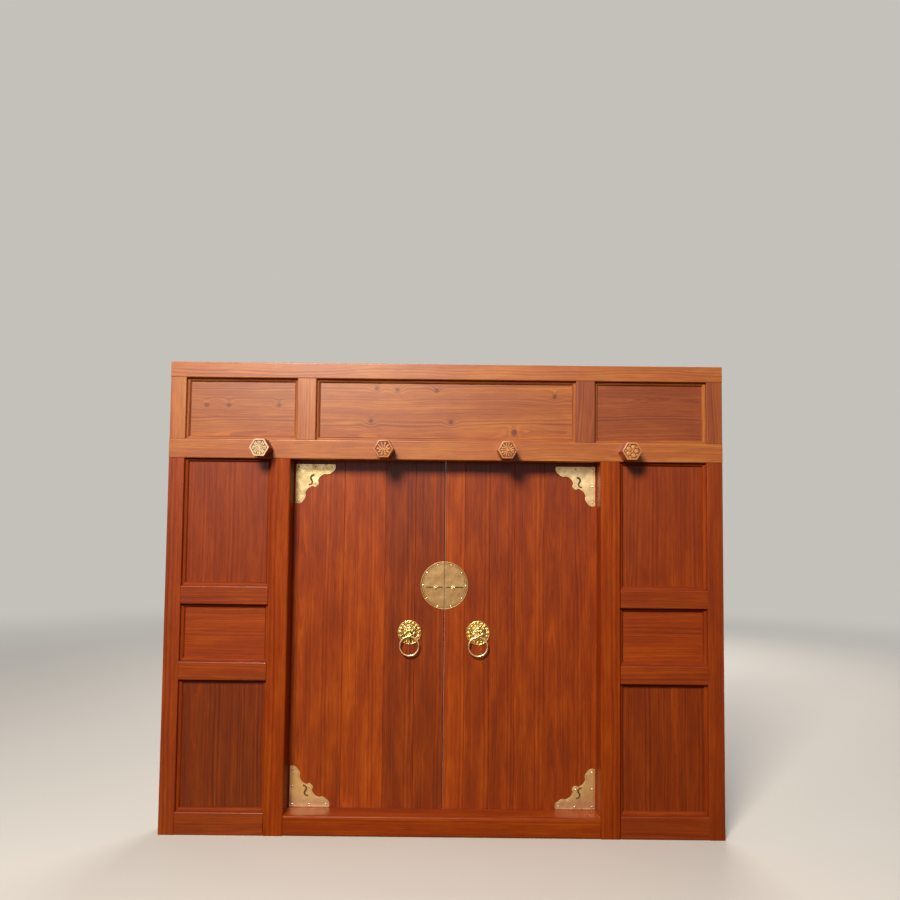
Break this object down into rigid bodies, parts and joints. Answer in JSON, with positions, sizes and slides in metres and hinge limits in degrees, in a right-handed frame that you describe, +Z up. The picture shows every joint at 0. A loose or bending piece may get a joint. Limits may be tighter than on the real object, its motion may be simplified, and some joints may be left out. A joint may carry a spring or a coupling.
{
  "type": "temple door",
  "caption": "Plank temple door in its timber frame, with panelled side bays and transom, carved hexagonal pins, brass corner plates, round lock plate and lion ring knockers.",
  "frame": {"origin": "middle of the threshold's underside, on the door's centre line and half way through the frame's depth", "axes": "+X to the right seen from the front, +Y from the front to the back, +Z up"},
  "size_m": [3.5, 0.51, 2.94],
  "materials": {
    "frame_wood": "stained and oiled pine, satin",
    "leaf_wood": "stained and varnished planks, satin",
    "panel_wood": "stained and varnished board, satin",
    "bead_wood": "stained moulding, satin",
    "carved_wood": "carved and stained, satin",
    "fitting_wood": "planed and oiled, matt",
    "brass": "polished sheet and cast brass",
    "brass_nails": "polished nail heads",
    "iron": "black cast iron"
  },
  "bodies": {
    "frame": {"centre_transom_panel": "panel_wood", "inner_left_pin": "carved_wood", "inner_right_pin": "carved_wood", "left_bottom_rail": "frame_wood", "left_door_post": "frame_wood", "left_jamb": "frame_wood", "left_lower_panel": "panel_wood", "left_lower_waist_rail": "frame_wood", "left_middle_panel": "panel_wood", "left_pillow_block": "fitting_wood", "left_transom_jamb": "frame_wood", "left_transom_panel": "panel_wood", "left_transom_stile": "frame_wood", "left_upper_panel": "panel_wood", "left_upper_waist_rail": "frame_wood", "middle_rail": "frame_wood", "outer_left_pin": "carved_wood", "outer_right_pin": "carved_wood", "pin_wedges": "fitting_wood", "pivot_beam": "fitting_wood", "pivot_cups": "iron", "right_bottom_rail": "frame_wood", "right_door_post": "frame_wood", "right_jamb": "frame_wood", "right_lower_panel": "panel_wood", "right_lower_waist_rail": "frame_wood", "right_middle_panel": "panel_wood", "right_pillow_block": "fitting_wood", "right_transom_jamb": "frame_wood", "right_transom_panel": "panel_wood", "right_transom_stile": "frame_wood", "right_upper_panel": "panel_wood", "right_upper_waist_rail": "frame_wood", "side_beads": "bead_wood", "threshold": "frame_wood", "top_rail": "frame_wood", "transom_beads": "bead_wood"},
    "left_leaf": {"left_pivot_stile": "leaf_wood", "left_boards": "leaf_wood", "left_battens": "fitting_wood", "left_upper_corner_plate": "brass", "left_lower_corner_plate": "brass", "left_lock_plate": "brass", "left_lock_eye": "brass", "left_knocker": "brass", "left_nails": "brass_nails", "bar_brackets": "fitting_wood"},
    "right_leaf": {"right_pivot_stile": "leaf_wood", "right_boards": "leaf_wood", "right_battens": "fitting_wood", "right_upper_corner_plate": "brass", "right_lower_corner_plate": "brass", "right_lock_plate": "brass", "right_lock_eye": "brass", "right_knocker": "brass", "right_nails": "brass_nails", "bar_keeper": "fitting_wood"},
    "left_ring": {"left_ring": "brass"},
    "right_ring": {"right_ring": "brass"},
    "sliding_bar": {"sliding_bar": "fitting_wood"}
  },
  "joints": [
    {"name": "left_leaf_pivot", "type": "hinge", "parent": "frame", "child": "left_leaf", "pos_m": [-1.005, 0.113, 1.2], "axis": [0, 0, 1], "range_deg": [0, 90]},
    {"name": "right_leaf_pivot", "type": "hinge", "parent": "frame", "child": "right_leaf", "pos_m": [1.005, 0.113, 1.2], "axis": [0, 0, -1], "range_deg": [0, 90]},
    {"name": "left_ring_swing", "type": "hinge", "parent": "left_leaf", "child": "left_ring", "pos_m": [-0.22, 0.049, 1.206], "axis": [-1, 0, 0], "range_deg": [-12, 100]},
    {"name": "right_ring_swing", "type": "hinge", "parent": "right_leaf", "child": "right_ring", "pos_m": [0.22, 0.049, 1.206], "axis": [-1, 0, 0], "range_deg": [-12, 100]},
    {"name": "bar_slide", "type": "slide", "parent": "left_leaf", "child": "sliding_bar", "axis": [1, 0, 0], "range_m": [0, 0.17]}
  ]
}
